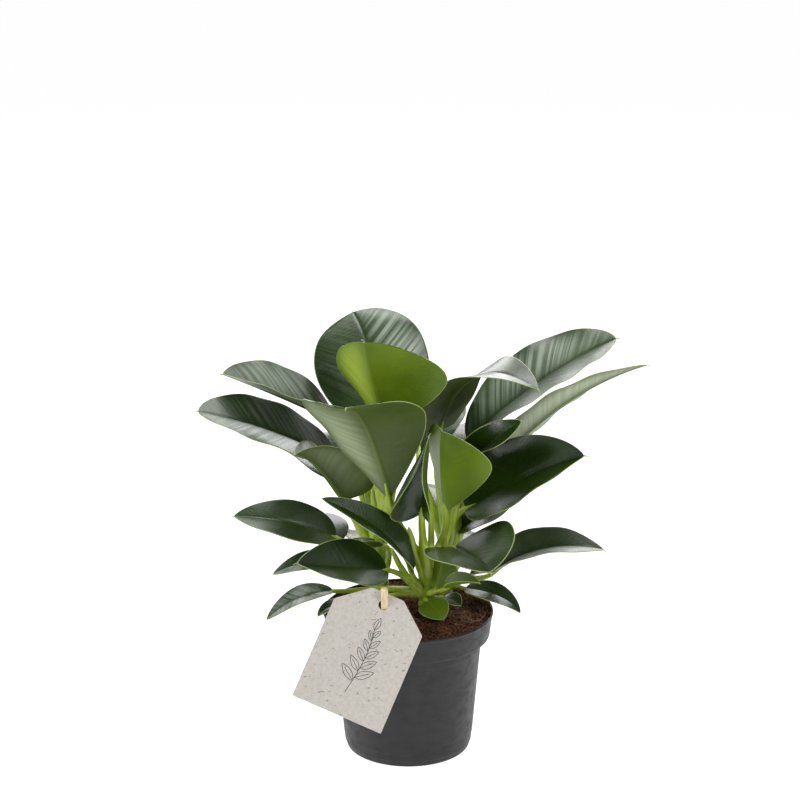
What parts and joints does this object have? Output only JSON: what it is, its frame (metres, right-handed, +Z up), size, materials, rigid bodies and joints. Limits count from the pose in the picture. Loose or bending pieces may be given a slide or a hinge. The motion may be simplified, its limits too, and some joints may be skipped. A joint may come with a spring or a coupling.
{
  "type": "potted philodendron",
  "caption": "Bushy green-leaved philodendron with pale leaf margins, standing in a plain dark nursery pot of soil, with a blank card tag on a wooden peg.",
  "frame": {"origin": "middle of the pot's underside, where it stands", "axes": "+Z up through the pot, -Y towards the card tag and the side the plant is seen from, +X to that viewer's right"},
  "size_m": [0.3186, 0.2372, 0.3016],
  "materials": {
    "pot": "matte dark grey moulded plastic",
    "soil": "dark brown peat and coir, loose and fibrous",
    "stem": "smooth light green stem",
    "leaf": "glossy dark green blade with a pale margin, matte grey-green below",
    "young_leaf": "satin lime green blade with a pale margin",
    "tag": "uncoated recycled card with fine specks",
    "peg": "pale bare wood"
  },
  "bodies": {
    "root": {"pot": "pot", "soil": "soil", "stem_front": "stem", "stem_right": "stem", "stem_left": "stem", "tag": "tag", "peg": "peg", "leaf_01": "leaf", "leaf_02": "young_leaf", "leaf_03": "leaf", "leaf_04": "leaf", "leaf_05": "leaf", "leaf_06": "leaf", "leaf_07": "leaf", "leaf_08": "leaf", "leaf_09": "leaf", "leaf_10": "leaf", "leaf_11": "leaf", "leaf_12": "leaf", "leaf_13": "young_leaf", "leaf_14": "leaf", "leaf_15": "young_leaf", "leaf_16": "leaf", "leaf_17": "leaf", "leaf_18": "leaf", "leaf_19": "leaf", "leaf_20": "leaf", "leaf_21": "leaf", "leaf_22": "leaf", "leaf_23": "leaf", "leaf_24": "leaf", "leaf_25": "leaf", "leaf_26": "young_leaf", "leaf_27": "leaf", "leaf_28": "young_leaf", "leaf_29": "leaf", "leaf_30": "leaf", "leaf_31": "leaf", "leaf_32": "leaf", "leaf_33": "leaf", "leaf_34": "leaf", "leaf_35": "leaf", "leaf_36": "leaf", "leaf_37": "leaf"}
  },
  "joints": []
}
